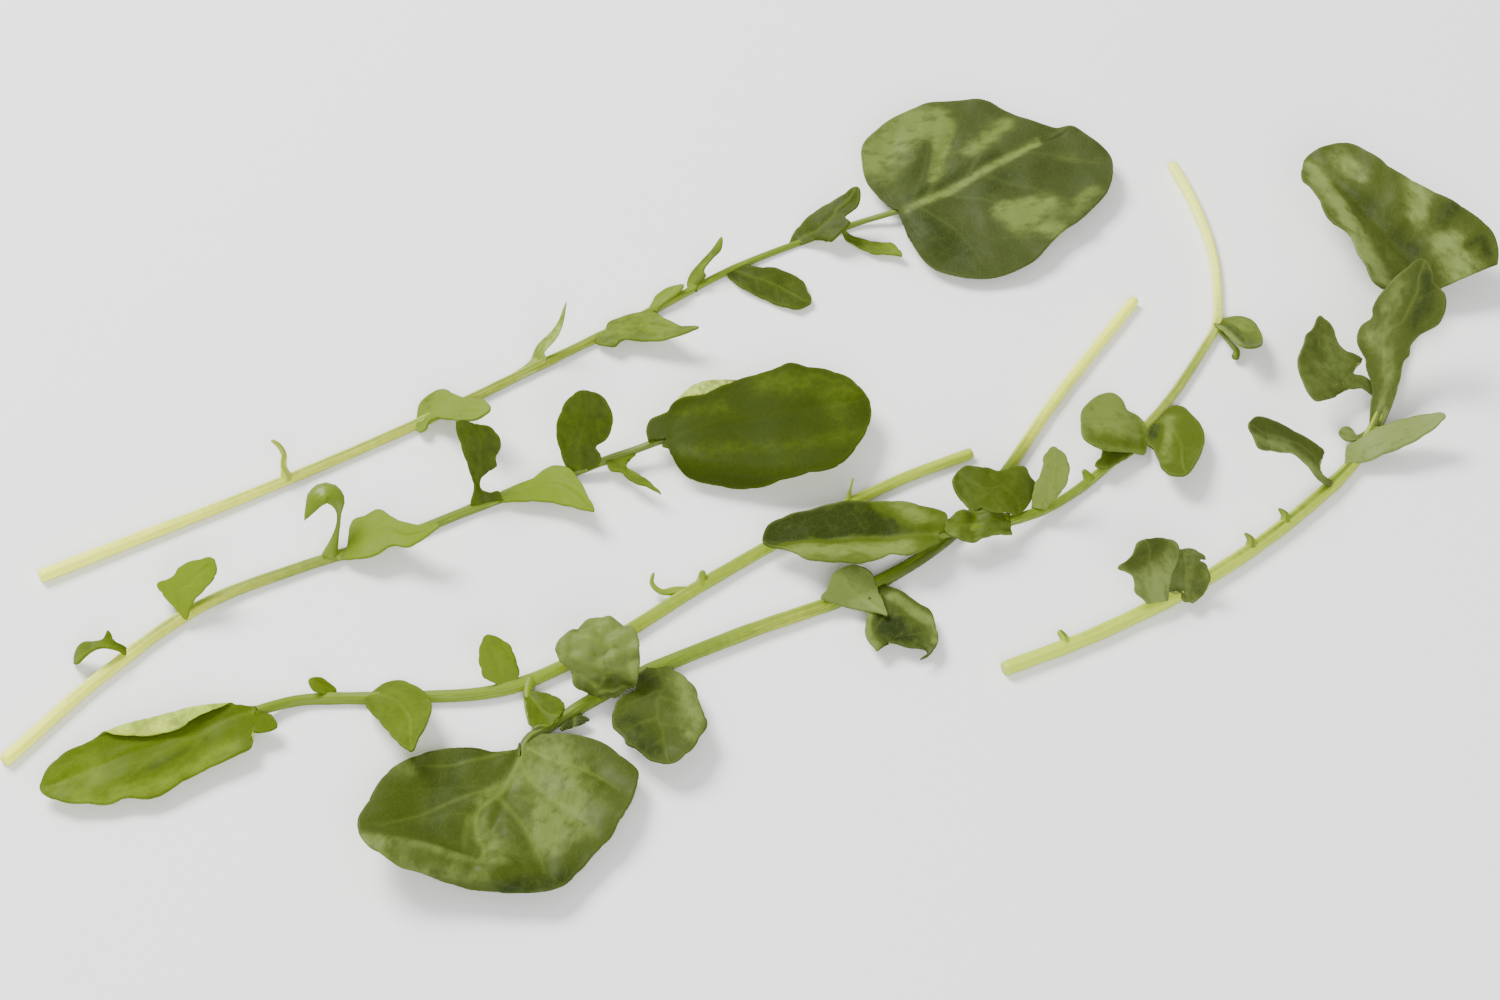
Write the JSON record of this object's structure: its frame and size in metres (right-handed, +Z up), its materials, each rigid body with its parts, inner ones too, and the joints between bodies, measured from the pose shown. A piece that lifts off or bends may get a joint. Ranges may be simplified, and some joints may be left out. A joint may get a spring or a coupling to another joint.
{
  "type": "bunch of winter cress",
  "caption": "Bunch of freshly picked winter cress lying spread out: long pale-stalked leaves with small side leaflets and large rounded terminal leaflets.",
  "frame": {"origin": "on the surface the leaves lie on, under the middle of the bunch's bounding box", "axes": "+Z up from the surface, +X along the bunch from the cut ends of the two left-hand leaves towards the right, +Y across it towards the first leaf's terminal leaflet"},
  "size_m": [0.2412, 0.1724, 0.0151],
  "materials": {
    "petiole": "pale cream-green, moist satin",
    "blade": "mid green, waxy satin"
  },
  "bodies": {
    "root": {"leaf_1_petiole": "petiole", "leaf_1_blade": "blade", "leaf_2_petiole": "petiole", "leaf_2_blade": "blade", "leaf_3_petiole": "petiole", "leaf_3_blade": "blade", "leaf_4_petiole": "petiole", "leaf_4_blade": "blade", "leaf_5_petiole": "petiole", "leaf_5_blade": "blade", "leaf_6_petiole": "petiole", "leaf_6_blade": "blade"}
  },
  "joints": []
}
